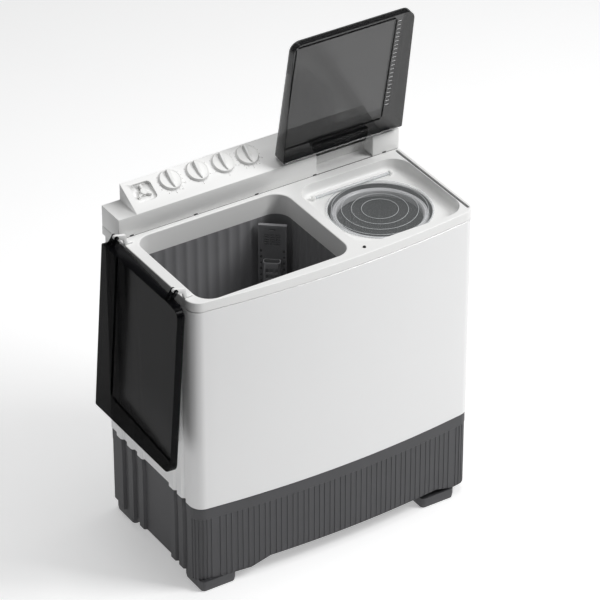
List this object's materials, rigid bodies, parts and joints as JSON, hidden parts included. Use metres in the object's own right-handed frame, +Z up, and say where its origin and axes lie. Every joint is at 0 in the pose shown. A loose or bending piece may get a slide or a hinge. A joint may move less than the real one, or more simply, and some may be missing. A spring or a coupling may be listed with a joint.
{
  "type": "twin tub washing machine",
  "caption": "Semi-automatic washing machine with a rectangular wash tub and a round spin tub side by side, smoked lids hinged open, and a sloped console with pointer knobs.",
  "frame": {"origin": "centre of the machine's box with both lids open, on the floor", "axes": "+X to the right as its user faces it, +Y to its back, +Z up"},
  "size_m": [1.0148, 0.5394, 1.4539],
  "materials": {
    "white_plastic": "satin white moulded plastic",
    "white_paint": "satin white painted sheet",
    "charcoal_plastic": "matt charcoal moulded plastic",
    "grey_plastic": "mid grey moulded plastic",
    "smoked_plastic": "glossy smoked see-through plastic",
    "clear_plastic": "clear glossy plastic",
    "black_plastic": "matt black plastic",
    "black_rubber": "matt black rubber",
    "steel": "ground steel",
    "zinc_plate": "zinc coated sheet",
    "die_casting": "die cast metal"
  },
  "bodies": {
    "cabinet": {"front_cabinet": "white_paint", "base_plinth": "charcoal_plastic", "back_panel": "zinc_plate", "top_deck": "white_plastic", "wash_tub": "grey_plastic", "spin_outer_tub": "grey_plastic", "console_housing": "white_plastic", "console_back_cover": "white_plastic", "overflow_cover": "grey_plastic", "inlet_spigot": "white_plastic", "drain_valve_body": "grey_plastic", "drain_spigot": "black_plastic", "cord_gland": "black_plastic", "wash_gearbox": "die_casting", "wash_motor": "die_casting", "wash_motor_bracket": "zinc_plate", "drive_belt": "black_rubber", "spin_motor": "die_casting", "bellows_seal": "black_rubber", "motor_mount_front": "black_rubber", "motor_mount_left": "black_rubber", "motor_mount_right": "black_rubber", "run_capacitor": "black_plastic", "wash_timer": "grey_plastic", "wash_mode_switch": "grey_plastic", "drain_selector": "grey_plastic", "spin_timer": "grey_plastic", "foot_front_left": "charcoal_plastic", "foot_front_right": "charcoal_plastic", "foot_rear_left": "charcoal_plastic", "foot_rear_right": "charcoal_plastic", "wash_hinge_bracket_front": "white_plastic", "wash_hinge_bracket_rear": "white_plastic", "lid_stop": "black_rubber"},
    "wash_lid": {"wash_lid": "smoked_plastic", "wash_hinge_pin_front": "steel", "wash_hinge_pin_rear": "steel"},
    "spin_lid": {"spin_lid": "smoked_plastic", "spin_hinge_pin": "steel"},
    "safety_cover": {"spin_safety_cover": "clear_plastic"},
    "wash_timer_knob": {"wash_timer_knob": "white_plastic"},
    "wash_mode_knob": {"wash_mode_knob": "white_plastic"},
    "drain_knob": {"drain_knob": "white_plastic"},
    "spin_timer_knob": {"spin_timer_knob": "white_plastic"},
    "inlet_lever": {"inlet_lever": "white_plastic"},
    "pulsator": {"pulsator": "grey_plastic", "pulsator_cap": "grey_plastic", "output_shaft": "steel"},
    "gearbox_pulley": {"gearbox_pulley": "die_casting"},
    "motor_pulley": {"motor_pulley": "die_casting"},
    "spin_rotor": {"spin_basket": "grey_plastic", "balance_ring": "grey_plastic", "spin_shaft": "steel", "brake_drum": "die_casting"},
    "brake_lever": {"brake_lever": "zinc_plate"},
    "drain_plunger": {"drain_plunger": "black_plastic"},
    "lint_filter": {"lint_filter": "grey_plastic"}
  },
  "joints": [
    {"name": "wash_lid_hinge", "type": "hinge", "parent": "cabinet", "child": "wash_lid", "pos_m": [-0.43956, -0.05225, 0.998], "axis": [0, 1, 0], "range_deg": [0, 266]},
    {"name": "spin_lid_hinge", "type": "hinge", "parent": "cabinet", "child": "spin_lid", "pos_m": [0.32394, 0.18375, 1.0155], "axis": [1, 0, 0], "range_deg": [0, 82]},
    {"name": "safety_cover_hinge", "type": "hinge", "parent": "cabinet", "child": "safety_cover", "pos_m": [0.30994, 0.08875, 0.9362], "axis": [1, 0, 0], "range_deg": [-75, 0]},
    {"name": "wash_timer_turn", "type": "hinge", "parent": "cabinet", "child": "wash_timer_knob", "pos_m": [-0.21256, 0.2104, 1.06191], "axis": [0, -0.4769, 0.879], "range_deg": [-330, 0]},
    {"name": "wash_mode_turn", "type": "hinge", "parent": "cabinet", "child": "wash_mode_knob", "pos_m": [-0.12456, 0.2104, 1.06191], "axis": [0, -0.4769, 0.879], "range_deg": [-45, 45]},
    {"name": "drain_turn", "type": "hinge", "parent": "cabinet", "child": "drain_knob", "pos_m": [-0.04156, 0.2104, 1.06191], "axis": [0, -0.4769, 0.879], "range_deg": [-90, 0]},
    {"name": "spin_timer_turn", "type": "hinge", "parent": "cabinet", "child": "spin_timer_knob", "pos_m": [0.03744, 0.2104, 1.06191], "axis": [0, -0.4769, 0.879], "range_deg": [-330, 0]},
    {"name": "inlet_lever_turn", "type": "hinge", "parent": "cabinet", "child": "inlet_lever", "pos_m": [-0.30106, 0.20337, 1.05809], "axis": [0, -0.4769, 0.879], "range_deg": [-30, 30]},
    {"name": "gearbox_pulley_spin", "type": "hinge", "parent": "cabinet", "child": "gearbox_pulley", "pos_m": [-0.13856, -0.05225, 0.2684], "axis": [0, 0, 1], "continuous": true},
    {"name": "motor_pulley_spin", "type": "hinge", "parent": "cabinet", "child": "motor_pulley", "pos_m": [0.02644, -0.13725, 0.2684], "axis": [0, 0, 1], "continuous": true},
    {"name": "pulsator_spin", "type": "hinge", "parent": "cabinet", "child": "pulsator", "pos_m": [-0.13856, -0.05225, 0.365], "axis": [0, 0, 1], "continuous": true},
    {"name": "spin_rotor_spin", "type": "hinge", "parent": "cabinet", "child": "spin_rotor", "pos_m": [0.30994, -0.05375, 0.445], "axis": [0, 0, 1], "continuous": true},
    {"name": "brake_release", "type": "hinge", "parent": "cabinet", "child": "brake_lever", "pos_m": [0.37994, -0.09875, 0.24], "axis": [0, 0, -1], "range_deg": [0, 6]},
    {"name": "drain_lift", "type": "slide", "parent": "cabinet", "child": "drain_plunger", "axis": [0, 0, 1], "range_m": [0, 0.012]},
    {"name": "lint_filter_lift", "type": "slide", "parent": "cabinet", "child": "lint_filter", "axis": [0, 0, 1], "range_m": [0, 0.12]}
  ],
  "couplings": [
    {"joint": "motor_pulley_spin", "follows": "gearbox_pulley_spin", "ratio": 3.9744},
    {"joint": "pulsator_spin", "follows": "gearbox_pulley_spin", "ratio": 0.2},
    {"joint": "brake_release", "follows": "spin_lid_hinge", "ratio": 0.07316},
    {"joint": "drain_lift", "follows": "drain_turn", "m_per_rad": -0.0076}
  ]
}
